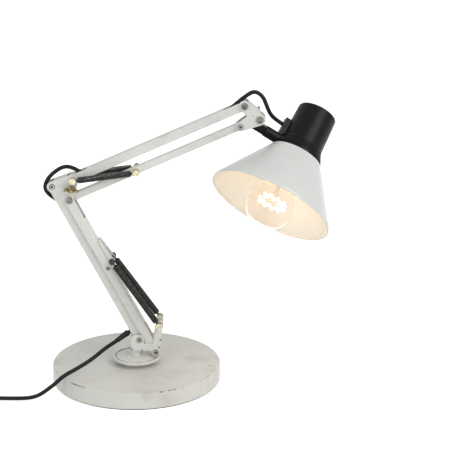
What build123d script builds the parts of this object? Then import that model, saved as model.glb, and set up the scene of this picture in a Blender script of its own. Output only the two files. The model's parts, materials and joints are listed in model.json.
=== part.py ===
"""Spring balanced desk lamp with two parallelogram arms, in millimetres.

The origin is the centre of the base's underside, +Z is up and the arms lie in the XZ plane.
"""
import math
import os

from build123d import *

os.makedirs("parts", exist_ok=True)

# Pose of the arms, in degrees
lower_lean = 27.6
upper_rise = 23.8
stem_dip = 32.0
head_roll = 34.0

# Base
base_radius = 105.0
base_height = 22.0
base_wall = 1.6
base_edge_fillet = 1.4
pad_thickness = 1.6
pad_inset = 1.6
weight_height = 15.0
hub_radius = 19.0
hub_height = 5.8
disc_radius = 29.6
disc_edge = 2.9
disc_crown = 1.0
disc_groove = 0.6
disc_rim = 2.2
disc_groove_width = 1.0
disc_bore_play = 0.1
post_radius = 7.25
post_wall = 1.4
spindle_radius = 4.0
spindle_head = 3.4

# Pivots: lengths of the parallelograms and where they stand
lower_length = 224.6
upper_length = 228.8
lower_pivot_x = 4.0
lower_pivot_z = base_height + 32.8
lower_pair_x = 20.6
lower_pair_z = -16.5
upper_pair_x = 5.0
upper_pair_z = 25.8
tilt_x = 18.7
tilt_z = -17.0
clamp_share = 0.55

# Sections and layers, counted outwards from the arms' middle plane
tube_size = 10.8
tube_wall = 1.0
sheet = 1.2
side_play = 0.3
channel_width = 11.0
channel_bend = 2.4
web_cut_low = 40.0
web_cut_high = 30.0
link_size = 8.6
link_neck = 3.9
link_wall = 1.0
pin_radius = 2.0
pin_play = 0.05
open_play = 0.12
seat = 0.05

# Springs and their anchors
spring_radius = 3.3
wire = 1.5
wire_sides = 4
end_play = 0.1
lower_turns = 20
upper_turns = 20
lower_anchor_x = 25.5
lower_anchor_z = 21.0
lower_anchor_y = 17.0
roller_along = 131.4
roller_radius = 2.3
roller_pin_radius = 1.4
roller_lead = 13.0
roller_hook_y = 12.6
drum_radius = 3.6
drum_flange = 1.2
saddle_low = 13.0
saddle_high = 30.0
saddle_foot = 5.2
saddle_rim = 0.6
saddle_rivet_back = 6.6
saddle_rivet_radius = 2.4
saddle_shank = 1.4
upper_anchor_y = 13.0
upper_anchor_along = 90.0
spool_width = 5.2
spool_flange = 0.9
spool_radius = 4.2
spool_core = 2.7
spool_lead = 9.0
anchor_cap = 1.6

# Screws, rivets and wing nuts
head_height = 1.6
head_radius = 4.3
rivet_radius = 3.4
rivet_height = 0.9
shoulder_radius = 3.1
slot_width = 1.1
slot_depth = 0.8
channel_slot_angle = 60.0
head_slot_angle = 20.0
tilt_slot_angle = 75.0
washer = 0.9
bolt_tail = 3.0
wing_hub_radius = 4.4
wing_hub_length = 5.0
elbow_wing_span = 8.6
elbow_wing_angle = -4.0
head_wing_span = 11.5
head_wing_angle = 97.0
wing_height = 8.5
wing_thickness = 2.8
wing_root = 1.0
wing_shoulder = 4.0
wing_tip = 3.0
wing_top = 2.6

# Bracket outlines
elbow_ear = 6.5
elbow_ear_small = 5.6
elbow_web_start = 4.0
elbow_web_end = 5.0
head_ear = 6.9
head_web_end = 4.5
head_web_proud = 0.1
head_heart_x = 13.0
head_heart_z = -13.5
head_heart_radius = 6.6
base_ear = 5.2
bracket_left = -6.6
bracket_floor = base_height + 18.0
post_ear = 6.5
anchor_ear = 4.6

# Head
stem_drop = 9.5
stem_reach = 61.5
stem_radius = 6.9
stem_stop = 2.0
stem_pin_radius = 3.6
stem_pin_root = 4.0
pin_head = 2.2
pin_head_rim = 0.9
knuckle_back = 5.0
knuckle_front = 13.0
knuckle_size = 10.6
knuckle_ear = 5.0
knuckle_fillet = 1.6
head_drop = 8.0
shade_height = 72.0
shade_top_radius = 33.0
shade_rim_radius = 77.0
shade_wall = 1.2
shade_hole = 21.0
rim_lip = 3.0
rim_flare = 0.5
collar_height = 16.0
collar_low_radius = 32.2
collar_high_radius = 27.0
collar_ribs = 3
rib_groove = 1.6
rib_step = 1.0
cap_height = 48.0
cap_low_radius = 26.5
cap_high_radius = 24.6
cap_wall = 2.0
cap_fillet = 3.0
cap_open = 1.0
hood_width = 10.0
hood_height = 20.0
hood_hole_share = 0.56
hood_proud = 6.0
hood_lead = 6.0
hood_tuck = 4.0
holder_radius = 19.0
holder_top = 34.0
holder_bottom = -24.0
holder_ring = 3.6
holder_ring_height = 6.0
bulb_radius = 30.0
bulb_centre = -71.0
bulb_neck_top = -21.0
bulb_shoulder = 4.0
glass = 1.0
bulb_cap_radius = 13.2
bulb_cap_top = 3.0
bulb_cap_taper = 4.0
mount_radius = 4.5
mount_flare = 10.0
mount_taper = 22.0
mount_tip_radius = 1.6
mount_tip = 4.0
button_radius = 6.0
button_travel = 2.5
button_proud = 1.0
button_fillet = 1.2
button_rim = 1.6

# Cable
cable_diameter = 5.0
cable_radius = cable_diameter / 2
cable_hole_play = 0.6
grommet_wall = 1.0
grommet_proud = 1.0
lead_exit_along = 12.5
lower_exit_back = 17.5
lower_exit_slot = 24.0
upper_entry_along = 12.5
upper_entry_slot = 17.0
upper_exit_slot = 27.0
lower_run_back = 42.0
upper_run_start = 26.0
upper_run_back = 45.0
lead_heading = 216.0
table_play = 0.1
coil_away = 112.0
coil_y = -38.0
coil_outer = 34.6
coil_step = 5.6
coil_turns = 8.25
coil_layers = 4
layer_turns = 2
coil_lift = 1.6
cord_sides = 6
tail_run = 30.0
tie_width = 7.0
tie_thickness = 1.2
tie_play = 0.3
tie_bend = 2.4
plug_radius = 13.0
plug_length = 36.0
plug_pin_radius = 2.0
plug_pin_length = 19.0
plug_pin_spacing = 19.0

# Layers worked out from the sections
tube_half = tube_size / 2
plate_in = tube_half + side_play
plate_out = plate_in + sheet
flange_in = plate_out + side_play
flange_out = flange_in + sheet
bracket_in = flange_out + side_play
bracket_out = bracket_in + sheet
link_half = link_size / 2
bore = pin_radius + pin_play
rivet_bore = 0.55 * pin_radius


def step(start, *moves):
    """Point in the arms' plane reached from start by a list of (x, z) moves."""
    x = start[0] + sum(move[0] for move in moves)
    z = start[1] + sum(move[1] for move in moves)
    return (x, z)


def polar(angle, length):
    return (length * math.cos(math.radians(angle)), length * math.sin(math.radians(angle)))


def arm_plane(origin, angle):
    """Plane facing the viewer, with X along the given direction and Y to its left."""
    x, z = polar(angle, 1)
    return Plane(origin=(origin[0], 0, origin[1]), x_dir=(x, 0, z), z_dir=(0, -1, 0))


def side_plane(y):
    """Plane facing the viewer at depth y, with X to the right and Y up."""
    return Plane(origin=(0, y, 0), x_dir=(1, 0, 0), z_dir=(0, -1, 0))


# Pivot places
lower_angle = 90 + lower_lean
lower_run = polar(lower_angle, lower_length)
upper_run = polar(upper_rise, upper_length)
lower_pivot = (lower_pivot_x, lower_pivot_z)
channel_pivot = step(lower_pivot, (lower_pair_x, lower_pair_z))
elbow_pivot = step(lower_pivot, lower_run)
channel_top = step(channel_pivot, lower_run)
upper_pivot = step(channel_top, (upper_pair_x, upper_pair_z))
head_pivot = step(upper_pivot, upper_run)
link_end = step(channel_top, upper_run)
tilt_pivot = step(head_pivot, (tilt_x, tilt_z))
clamp_place = step(channel_top, (clamp_share * upper_pair_x, clamp_share * upper_pair_z))
lower_anchor = step(lower_pivot, (lower_anchor_x, lower_anchor_z))
upper_anchor = step(channel_top, polar(upper_rise, upper_anchor_along))
roller_out = channel_width / 2 + sheet + side_play + roller_radius
roller_foot = step(channel_pivot, polar(lower_angle, roller_along))
roller_place = step(roller_foot, polar(lower_angle - 90, roller_out))


def keep(builder, label):
    """Names a finished piece and writes it."""
    builder.part.label = label
    export_step(builder.part, "parts/" + label + ".step")


def turn(place, steps):
    """Adds a stepped round bar along Y to the current part: (from y, to y, radius)."""
    for start, end, radius in steps:
        with BuildSketch(side_plane(end)) as section:
            with Locations(place):
                Circle(radius)
        extrude(section.sketch, amount=end - start)


def turn_side(place, sign, steps):
    """The same on one side: depths count from the middle plane, towards the viewer when sign is -1."""
    turn(place, [(min(sign * a, sign * b), max(sign * a, sign * b), r) for a, b, r in steps])


def drill(place, radius, reach):
    """Bores a hole along Y through the current part, from -reach to reach."""
    with BuildSketch(side_plane(0)) as section:
        with Locations(place):
            Circle(radius)
    extrude(section.sketch, amount=reach, both=True, mode=Mode.SUBTRACT)


def slot_cut(place, angle, top, depth):
    """Cuts a screwdriver slot into a head whose front face is at y = top."""
    with BuildSketch(side_plane(top + depth)) as section:
        with Locations(place):
            Rectangle(2.4 * head_radius, slot_width, rotation=angle)
    extrude(section.sketch, amount=2 * depth, mode=Mode.SUBTRACT)


def ears(*circles):
    """Adds the outline round a few circles, (place, radius), to the current sketch."""
    with BuildSketch(mode=Mode.PRIVATE) as outline:
        for place, radius in circles:
            with Locations(place):
                Circle(radius)
        make_hull()
    add(outline.sketch)


# Base: pressed cover over an iron weight, on a felt pad
with BuildPart() as base_pad:
    Cylinder(base_radius - pad_inset, pad_thickness, align=(Align.CENTER, Align.CENTER, Align.MIN))
keep(base_pad, "base_pad")

with BuildPart() as base_cover:
    with BuildSketch(Plane.XY.offset(pad_thickness)):
        Circle(base_radius)
    extrude(amount=base_height - pad_thickness)
    fillet(base_cover.edges().group_by(Axis.Z)[-1], base_edge_fillet)
    with BuildSketch(Plane.XY.offset(pad_thickness)):
        Circle(base_radius - base_wall)
    extrude(amount=base_height - pad_thickness - base_wall, mode=Mode.SUBTRACT)
    Hole(spindle_radius + pin_play)
keep(base_cover, "base_cover")

weight_radius = base_radius - base_wall - side_play
weight_top = base_height - base_wall
with BuildPart() as base_weight:
    with BuildSketch(Plane.XY.offset(pad_thickness)):
        Circle(weight_radius)
    extrude(amount=weight_top - pad_thickness)
    with BuildSketch(Plane.XY.offset(pad_thickness)):
        Circle(weight_radius - base_wall)
        Circle(hub_radius, mode=Mode.SUBTRACT)
    extrude(amount=weight_top - pad_thickness - weight_height, mode=Mode.SUBTRACT)
    Hole(spindle_radius + pin_play)
    with BuildSketch(Plane.XY.offset(pad_thickness)):
        Circle(2.2 * spindle_radius)
    extrude(amount=1.6 * spindle_radius, mode=Mode.SUBTRACT)
keep(base_weight, "base_weight")

hub_top = base_height + hub_height
disc_bottom = hub_top + side_play
disc_top = disc_bottom + disc_edge
with BuildPart() as thrust_washer:
    with BuildSketch(Plane.XY.offset(base_height)):
        Circle(hub_radius)
        Circle(spindle_radius + pin_play, mode=Mode.SUBTRACT)
    extrude(amount=hub_height)
    fillet(thrust_washer.edges().group_by(Axis.Z)[-1].sort_by(SortBy.LENGTH)[-1], washer)
keep(thrust_washer, "thrust_washer")

spindle_head_bottom = disc_top + disc_crown + side_play
nut_height = 1.2 * spindle_radius
with BuildPart() as swivel_spindle:
    with BuildSketch(Plane.XY.offset(pad_thickness + side_play)):
        Circle(spindle_radius)
    extrude(amount=spindle_head_bottom + spindle_head - pad_thickness - side_play)
    with BuildSketch(Plane.XY.offset(spindle_head_bottom)):
        Circle(post_radius - post_wall - side_play)
    extrude(amount=spindle_head)
keep(swivel_spindle, "swivel_spindle")

with BuildPart() as spindle_nut:
    with BuildSketch(Plane.XY.offset(pad_thickness + 1.6 * spindle_radius - nut_height)):
        RegularPolygon(1.8 * spindle_radius, 6)
        Circle(spindle_radius + pin_play, mode=Mode.SUBTRACT)
    extrude(amount=nut_height)
keep(spindle_nut, "spindle_nut")

# Swivel: disc, post and folded bracket
groove_edge = disc_radius - disc_rim - disc_groove
with BuildPart() as swivel_disc:
    with BuildSketch(Plane.XZ):
        with BuildLine():
            Polyline(
                (spindle_radius + disc_bore_play, disc_bottom),
                (disc_radius, disc_bottom),
                (disc_radius, disc_top - disc_groove),
                (disc_radius - disc_groove, disc_top),
                (disc_radius - disc_rim, disc_top),
                (groove_edge, disc_top - disc_groove),
                (groove_edge - disc_groove_width, disc_top - disc_groove),
                (2 * post_radius, disc_top + disc_crown),
                (spindle_radius + disc_bore_play, disc_top + disc_crown),
                close=True,
            )
        make_face()
    revolve(axis=Axis.Z)
keep(swivel_disc, "swivel_disc")

post_bottom = disc_top + disc_crown
with BuildPart() as swivel_post:
    with BuildSketch(Plane.XY.offset(post_bottom)):
        Circle(post_radius)
        Circle(post_radius - post_wall, mode=Mode.SUBTRACT)
    extrude(amount=bracket_floor - post_bottom)
keep(swivel_post, "swivel_post")

bracket_foot = (bracket_left + base_ear, bracket_floor + base_ear)
bracket_heel = (channel_pivot[0], bracket_floor + base_ear)
bracket_top = (bracket_left + post_ear, lower_pivot_z)
with BuildPart() as base_bracket:
    with BuildSketch(side_plane(0)):
        ears((bracket_foot, base_ear), (bracket_top, post_ear), (lower_pivot, post_ear))
        ears((bracket_foot, base_ear), (bracket_heel, base_ear))
        ears((channel_pivot, base_ear), (lower_anchor, anchor_ear))
    extrude(amount=bracket_out, both=True)
    with BuildSketch(side_plane(0)):
        with Locations((bracket_left, bracket_floor + sheet), (lower_pivot_x + base_ear, 0)):
            Rectangle(base_radius, base_radius, align=(Align.MIN, Align.MIN))
    extrude(amount=bracket_in, both=True, mode=Mode.SUBTRACT)
    for place in (lower_pivot, channel_pivot, lower_anchor):
        drill(place, bore, 2 * bracket_out)
keep(base_bracket, "base_bracket")


def bush_steps(inner, outer):
    """Shoulders on both sides of the middle plane, from depth inner to depth outer."""
    return [(-outer, -inner, shoulder_radius), (inner, outer, shoulder_radius)]


with BuildPart() as lower_pivot_rivet:
    turn(lower_pivot, [(-bracket_out - rivet_height, bracket_out + rivet_height, pin_radius)])
    turn(lower_pivot, [(-bracket_out - rivet_height, -bracket_out, rivet_radius)])
    turn(lower_pivot, [(bracket_out, bracket_out + rivet_height, rivet_radius)])
    turn(lower_pivot, bush_steps(plate_in, bracket_in))
    drill(lower_pivot, rivet_bore, 2 * bracket_out)
keep(lower_pivot_rivet, "lower_pivot_rivet")

with BuildPart() as channel_pivot_screw:
    turn(channel_pivot, [(-bracket_out - rivet_height, bracket_out + rivet_height, pin_radius)])
    turn(channel_pivot, [(-bracket_out - rivet_height, -bracket_out, rivet_radius)])
    turn(channel_pivot, [(bracket_out, bracket_out + rivet_height, rivet_radius)])
    turn(channel_pivot, [(-plate_out, plate_out, shoulder_radius)])
    drill(channel_pivot, rivet_bore, 2 * bracket_out)
keep(channel_pivot_screw, "channel_pivot_screw")


def spool_ends(depth):
    """Near and far face of a spool whose middle is at the given depth."""
    return depth - spool_width / 2, depth + spool_width / 2


def spools(place, depth):
    """Adds a pair of flanged spools on a pin, one on each side."""
    near, far = spool_ends(depth)
    for sign in (-1, 1):
        ends = [
            (near, near + spool_flange, spool_radius),
            (near, far, spool_core),
            (far - spool_flange, far, spool_radius),
        ]
        turn_side(place, sign, ends)
    drill(place, bore, 2 * far)


lower_near, lower_far = spool_ends(lower_anchor_y)
with BuildPart() as lower_spring_studs:
    for sign in (-1, 1):
        ends = [
            (bracket_in, lower_far + anchor_cap, pin_radius),
            (bracket_out, lower_near, shoulder_radius),
            (lower_far, lower_far + anchor_cap, shoulder_radius),
        ]
        turn_side(lower_anchor, sign, ends)
keep(lower_spring_studs, "lower_spring_studs")

with BuildPart() as lower_spools:
    spools(lower_anchor, lower_anchor_y)
keep(lower_spools, "lower_spools")


# Lower arm: square tube behind, channel in front
def bar(plane, length, size, wall):
    """Square tube with rounded side walls at both pivots, along X of its plane."""
    with BuildSketch(plane) as outside:
        with Locations((length / 2, 0)):
            SlotCenterToCenter(length, size)
    extrude(outside.sketch, amount=size / 2, both=True)
    with BuildSketch(plane) as inside:
        with Locations((length / 2, 0)):
            Rectangle(length + 2 * size, size - 2 * wall)
    extrude(inside.sketch, amount=size / 2 - wall, both=True, mode=Mode.SUBTRACT)


def wall_port(plane, along, side, size, length):
    """Cable port through one wall of a tube: side is 1 for the left wall, -1 for the right."""
    port = Plane(plane.from_local_coords((along, 0, 0)), x_dir=plane.x_dir, z_dir=plane.y_dir * side)
    with BuildSketch(port) as opening:
        if length > size:
            SlotOverall(length, size)
        else:
            Circle(size / 2)
    extrude(opening.sketch, amount=tube_size, mode=Mode.SUBTRACT)


port_size = cable_diameter + 2 * grommet_wall + cable_hole_play
lower_plane = arm_plane(lower_pivot, lower_angle)
with BuildPart() as lower_tube:
    bar(lower_plane, lower_length, tube_size, tube_wall)
    drill(lower_pivot, bore, tube_size)
    drill(elbow_pivot, bore, tube_size)
    wall_port(lower_plane, lead_exit_along, 1, port_size, port_size)
    wall_port(lower_plane, lower_length - lower_exit_back, 1, port_size, lower_exit_slot)
keep(lower_tube, "lower_tube")

channel_plane = arm_plane(channel_pivot, lower_angle)
channel_half = channel_width / 2
section_plane = Plane(
    channel_plane.from_local_coords((-channel_width, 0, 0)),
    x_dir=(0, 1, 0),
    z_dir=channel_plane.x_dir,
)
saddle_rivet_place = step(channel_pivot, polar(lower_angle, roller_along - saddle_rivet_back))
with BuildPart() as lower_channel:
    with BuildSketch(section_plane) as channel_section:
        Rectangle(2 * flange_out, channel_width)
        fillet(channel_section.vertices().group_by(Axis.Y)[0], channel_bend)
        with BuildSketch(mode=Mode.PRIVATE) as channel_inside:
            with Locations((0, sheet)):
                Rectangle(2 * flange_in, channel_width)
            fillet(channel_inside.vertices().group_by(Axis.Y)[0], channel_bend - sheet)
        add(channel_inside.sketch, mode=Mode.SUBTRACT)
    extrude(amount=lower_length + 2 * channel_width)
    with BuildSketch(channel_plane):
        with Locations((lower_length / 2, 0)):
            SlotCenterToCenter(lower_length, channel_width)
    extrude(amount=flange_out, both=True, mode=Mode.INTERSECT)
    with BuildSketch(channel_plane):
        with Locations((web_cut_low, -channel_half)):
            Rectangle(2 * lower_length, 2 * channel_bend, align=(Align.MAX, Align.CENTER))
        with Locations((lower_length - web_cut_high, -channel_half)):
            Rectangle(2 * lower_length, 2 * channel_bend, align=(Align.MIN, Align.CENTER))
    extrude(amount=flange_in, both=True, mode=Mode.SUBTRACT)
    drill(channel_pivot, bore, 2 * flange_out)
    drill(channel_top, pin_radius + open_play, 2 * flange_out)
    drill(saddle_rivet_place, saddle_shank + pin_play, 2 * flange_out)
keep(lower_channel, "lower_channel")

# Saddle with a roller on the channel's web, which holds the lower springs' upper ends
cheek_in = flange_in
web_face = -channel_half
saddle_length = saddle_low + saddle_high
with BuildPart() as spring_saddle:
    with BuildSketch(channel_plane):
        with Locations((roller_along - saddle_low, web_face)):
            Rectangle(saddle_length, sheet, align=(Align.MIN, Align.MAX))
    extrude(amount=cheek_in + sheet, both=True)
    with BuildSketch(channel_plane):
        ears(
            ((roller_along, -roller_out), roller_radius + saddle_rim),
            ((roller_along + saddle_high - sheet, web_face - sheet), sheet),
            ((roller_along - saddle_foot, web_face - sheet), sheet),
        )
        with Locations((roller_along, web_face)):
            above = (Align.CENTER, Align.MIN)
            Rectangle(2 * saddle_length, saddle_length, align=above, mode=Mode.SUBTRACT)
    extrude(amount=cheek_in + sheet, both=True)
    with BuildSketch(channel_plane):
        with Locations((roller_along, web_face - sheet)):
            Rectangle(2 * saddle_length, saddle_length, align=(Align.CENTER, Align.MAX))
    extrude(amount=cheek_in, both=True, mode=Mode.SUBTRACT)
    drill(roller_place, roller_pin_radius + pin_play, 2 * flange_out)
keep(spring_saddle, "spring_saddle")

drum_near = cheek_in + sheet + side_play
drum_far = roller_hook_y + spool_width / 2
with BuildPart() as spring_roller:
    turn(roller_place, [(-drum_far, drum_far, roller_pin_radius)])
    turn(roller_place, [(-cheek_in + side_play, cheek_in - side_play, roller_radius)])
    turn(roller_place, [(-drum_far, -drum_near, roller_radius), (drum_near, drum_far, roller_radius)])
    turn(roller_place, [(-drum_far, drum_flange - drum_far, drum_radius)])
    turn(roller_place, [(drum_far - drum_flange, drum_far, drum_radius)])
keep(spring_roller, "spring_roller")

with BuildPart() as saddle_rivets:
    for sign in (-1, 1):
        ends = [
            (flange_in, flange_out, saddle_shank),
            (flange_out, flange_out + rivet_height, saddle_rivet_radius),
        ]
        turn_side(saddle_rivet_place, sign, ends)
keep(saddle_rivets, "saddle_rivets")


# Elbow: folded bracket with its pins
def folded_bracket(outline, first, second, ear, start, end):
    """Two plates with a web along their upper edge, between the pivots first and second."""
    length = math.dist(first, second)
    angle = math.degrees(math.atan2(second[1] - first[1], second[0] - first[0]))
    plane = arm_plane(first, angle)
    with BuildSketch(side_plane(0)) as plates:
        outline()
    extrude(plates.sketch, amount=plate_out, both=True)
    extrude(plates.sketch, amount=plate_in, both=True, mode=Mode.SUBTRACT)
    with BuildSketch(plane) as web:
        with Locations((start, ear)):
            Rectangle(length - start - end, sheet, align=(Align.MIN, Align.MAX))
    extrude(web.sketch, amount=plate_out, both=True)


def elbow_outline():
    ears((elbow_pivot, elbow_ear), (channel_top, elbow_ear_small), (upper_pivot, elbow_ear))


with BuildPart() as elbow_bracket:
    folded_bracket(elbow_outline, elbow_pivot, upper_pivot, elbow_ear, elbow_web_start, elbow_web_end)
    for place in (elbow_pivot, channel_top, upper_pivot, clamp_place):
        drill(place, bore, 2 * plate_out)
keep(elbow_bracket, "elbow_bracket")


def hollow_rivet(place, inner):
    """Tubular rivet through two plates, with shoulders from depth inner where a thin bar turns on it."""
    turn(place, [(-plate_out - rivet_height, plate_out + rivet_height, pin_radius)])
    turn(place, [(-plate_out - rivet_height, -plate_out, rivet_radius)])
    turn(place, [(plate_out, plate_out + rivet_height, rivet_radius)])
    if inner < plate_in - side_play:
        turn(place, bush_steps(inner, plate_in))
    drill(place, rivet_bore, 2 * plate_out)


def slotted_screw(place, face, angle, inner):
    """Slotted screw with a nut behind: face is the depth of the plates that it clamps."""
    turn(place, [(-face - head_height, face + head_height, pin_radius)])
    turn(place, [(-face - head_height, -face, head_radius)])
    if inner < plate_in - side_play:
        turn(place, bush_steps(inner, plate_in))
    with BuildSketch(side_plane(face + head_height)) as nut:
        with Locations(place):
            RegularPolygon(head_radius, 6)
    extrude(nut.sketch, amount=head_height)
    slot_cut(place, angle, -face - head_height, slot_depth)


link_side = link_half + side_play
channel_face = flange_out + side_play
with BuildPart() as elbow_rivet:
    hollow_rivet(elbow_pivot, plate_in)
keep(elbow_rivet, "elbow_rivet")

with BuildPart() as channel_top_screw:
    slotted_screw(channel_top, channel_face, channel_slot_angle, link_side)
keep(channel_top_screw, "channel_top_screw")


def anchor_pin(place, inner, depth):
    """Pin that carries a spool at each end: inner is where its shoulders start."""
    near, far = spool_ends(depth)
    turn(place, [(-far - anchor_cap, far + anchor_cap, pin_radius)])
    turn(place, bush_steps(inner, near))
    turn(place, bush_steps(far, far + anchor_cap))


with BuildPart() as upper_pivot_pin:
    anchor_pin(upper_pivot, plate_out, upper_anchor_y)
keep(upper_pivot_pin, "upper_pivot_pin")

with BuildPart() as elbow_spools:
    spools(upper_pivot, upper_anchor_y)
keep(elbow_spools, "elbow_spools")

nut_start = plate_out + washer + side_play / 3
with BuildPart() as elbow_clamp_bolt:
    nut_end = nut_start + wing_hub_length
    turn(clamp_place, [(-nut_end - bolt_tail, plate_out + head_height, pin_radius)])
    turn(clamp_place, [(-plate_out - washer, -plate_out, head_radius)])
    with BuildSketch(side_plane(plate_out + head_height)):
        with Locations(clamp_place):
            RegularPolygon(head_radius, 6)
    extrude(amount=head_height)
keep(elbow_clamp_bolt, "elbow_clamp_bolt")


def wing_nut(place, angle, sign, wing_span):
    """Wing nut along Y: sign is -1 on the viewer's side of the plates and 1 behind them."""
    start = sign * nut_start
    end = sign * (nut_start + wing_hub_length)
    turn(place, [(min(start, end), max(start, end), wing_hub_radius)])
    across = polar(angle, 1)
    wing_plane = Plane(
        origin=(place[0], start, place[1]),
        x_dir=(across[0], 0, across[1]),
        z_dir=(-across[1] * sign, 0, across[0] * sign),
    )
    root = wing_hub_radius - wing_thickness
    with BuildSketch(wing_plane) as wings:
        with BuildLine():
            Polyline(
                (root, wing_root),
                (wing_hub_radius, wing_root),
                (wing_span, wing_height - wing_tip),
                (wing_span, wing_height),
                (wing_span - wing_top, wing_height),
                (root, wing_shoulder),
                close=True,
            )
        make_face()
        mirror(about=Plane.YZ)
    extrude(wings.sketch, amount=wing_thickness / 2, both=True)
    drill(place, bore, 4 * plate_out)


with BuildPart() as elbow_wing_nut:
    wing_nut(clamp_place, elbow_wing_angle, -1, elbow_wing_span)
keep(elbow_wing_nut, "elbow_wing_nut")

# Upper arm: square tube above, thin link below
upper_plane = arm_plane(upper_pivot, upper_rise)
with BuildPart() as upper_tube:
    bar(upper_plane, upper_length, tube_size, tube_wall)
    drill(upper_pivot, bore, tube_size)
    drill(head_pivot, bore, tube_size)
    wall_port(upper_plane, upper_entry_along, 1, port_size, upper_entry_slot)
    wall_port(upper_plane, upper_length, 1, port_size, 2 * upper_exit_slot)
keep(upper_tube, "upper_tube")

link_plane = arm_plane(channel_top, upper_rise)
with BuildPart() as upper_link:
    bar(link_plane, upper_length, link_size, link_wall)
    with BuildSketch(link_plane):
        Rectangle(link_size, 2 * link_size, align=(Align.MAX, Align.CENTER))
        Circle(link_neck, mode=Mode.SUBTRACT)
    extrude(amount=link_size, both=True, mode=Mode.SUBTRACT)
    drill(channel_top, bore, tube_size)
    drill(link_end, pin_radius + open_play, tube_size)
    drill(upper_anchor, bore, tube_size)
keep(upper_link, "upper_link")

with BuildPart() as link_spring_pin:
    anchor_pin(upper_anchor, link_half, upper_anchor_y)
keep(link_spring_pin, "link_spring_pin")

with BuildPart() as link_spools:
    spools(upper_anchor, upper_anchor_y)
keep(link_spools, "link_spools")

# Head bracket
head_heart = step(head_pivot, (head_heart_x, head_heart_z))


def head_outline():
    ears((head_pivot, head_ear), (tilt_pivot, head_ear), (head_heart, head_heart_radius))
    ears((link_end, elbow_ear_small), (tilt_pivot, head_ear), (head_heart, head_heart_radius))


with BuildPart() as head_bracket:
    folded_bracket(head_outline, head_pivot, tilt_pivot, head_ear + head_web_proud, 0.0, head_web_end)
    for place in (head_pivot, link_end, tilt_pivot):
        drill(place, bore, 2 * plate_out)
keep(head_bracket, "head_bracket")

with BuildPart() as head_pivot_screw:
    slotted_screw(head_pivot, plate_out, head_slot_angle, plate_in)
keep(head_pivot_screw, "head_pivot_screw")

with BuildPart() as link_end_rivet:
    hollow_rivet(link_end, link_side)
keep(link_end_rivet, "link_end_rivet")

with BuildPart() as tilt_bolt:
    turn(tilt_pivot, [(-plate_out - head_height, nut_start + wing_hub_length + bolt_tail, pin_radius)])
    turn(tilt_pivot, [(-plate_out - head_height, -plate_out, head_radius)])
    turn(tilt_pivot, [(plate_out, plate_out + washer, head_radius)])
    slot_cut(tilt_pivot, tilt_slot_angle, -plate_out - head_height, slot_depth)
keep(tilt_bolt, "tilt_bolt")

with BuildPart() as head_wing_nut:
    wing_nut(tilt_pivot, head_wing_angle, 1, head_wing_span)
keep(head_wing_nut, "head_wing_nut")

# Knuckle: turns on the tilt bolt and holds the stem
stem_plane = arm_plane(tilt_pivot, -stem_dip)
stem_dir = stem_plane.x_dir
stem_foot = stem_plane.from_local_coords((0, -stem_drop, 0))
knuckle_half = tube_half
stem_bore = stem_pin_radius + pin_play


def stem_section(along):
    """Plane across the stem, counted along it from the place below the tilt bolt."""
    return Plane(stem_foot + stem_dir * along, x_dir=(0, 1, 0), z_dir=stem_dir)


with BuildPart() as head_knuckle:
    with BuildSketch(stem_plane):
        Circle(knuckle_ear)
        with Locations((-knuckle_back, -stem_drop)):
            Rectangle(knuckle_back + knuckle_front, knuckle_size, align=(Align.MIN, Align.CENTER))
        Rectangle(2 * knuckle_ear, stem_drop, align=(Align.CENTER, Align.MAX))
    extrude(amount=knuckle_half, both=True)
    rims = head_knuckle.edges().filter_by(GeomType.LINE)
    rims = rims.filter_by(lambda edge: abs(edge.center().Y) > knuckle_half - seat)
    bottom = rims.sort_by(lambda edge: stem_plane.to_local_coords(edge.center()).Y)[:2]
    fillet(bottom, knuckle_fillet)
    with BuildSketch(stem_section(0)):
        Circle(stem_bore)
    extrude(amount=2 * knuckle_front, both=True, mode=Mode.SUBTRACT)
    drill(tilt_pivot, bore, tube_size)
keep(head_knuckle, "head_knuckle")

# Head: everything below stands in the shade's own frame, with its axis up through the cap
stem_up = stem_plane.y_dir
roll = math.radians(head_roll)
head_up = stem_up * math.cos(roll) + Vector(0, 1, 0) * math.sin(roll)
stem_end = stem_foot + stem_dir * stem_reach
head_centre = stem_end - head_up * head_drop
head_plane = Plane(head_centre, x_dir=stem_dir, z_dir=head_up)
head_section = Plane(head_centre, x_dir=stem_dir, z_dir=stem_dir.cross(head_up))
head_axis = Axis(head_centre, head_up)

rib_pitch = collar_height / (collar_ribs + 1)
collar_taper = collar_high_radius - collar_low_radius
with BuildPart() as head_collar:
    with BuildSketch(head_section):
        with BuildLine():
            outline = [(shade_hole, seat), (collar_low_radius, seat)]
            for index in range(collar_ribs):
                radius = collar_low_radius + collar_taper * index / collar_ribs
                low = rib_pitch * (index + 1) - rib_groove / 2
                high = low + rib_groove
                outline += [(radius, low), (radius - rib_groove, low)]
                outline += [(radius - rib_groove, high), (radius - rib_step, high)]
            outline += [(collar_high_radius, collar_height), (shade_hole, collar_height)]
            Polyline(*outline, close=True)
        make_face()
    revolve(axis=head_axis)
    stem_start = knuckle_front + side_play
    with BuildSketch(stem_section(stem_start)):
        Circle(stem_radius)
    extrude(amount=stem_reach - stem_start - shade_hole - stem_stop)
    with BuildSketch(stem_section(-knuckle_back - side_play)):
        Circle(stem_pin_radius)
    extrude(amount=knuckle_back + knuckle_front + stem_pin_root)
    with BuildSketch(stem_section(-knuckle_back - side_play)):
        Circle(stem_pin_radius + pin_head_rim)
    extrude(amount=-pin_head)
    with BuildSketch(head_plane):
        Circle(shade_hole)
    extrude(amount=collar_height, mode=Mode.SUBTRACT)
    with BuildSketch(head_plane.offset(seat)):
        Circle(2 * collar_low_radius)
    extrude(amount=-stem_radius, mode=Mode.SUBTRACT)
keep(head_collar, "head_collar")

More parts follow.
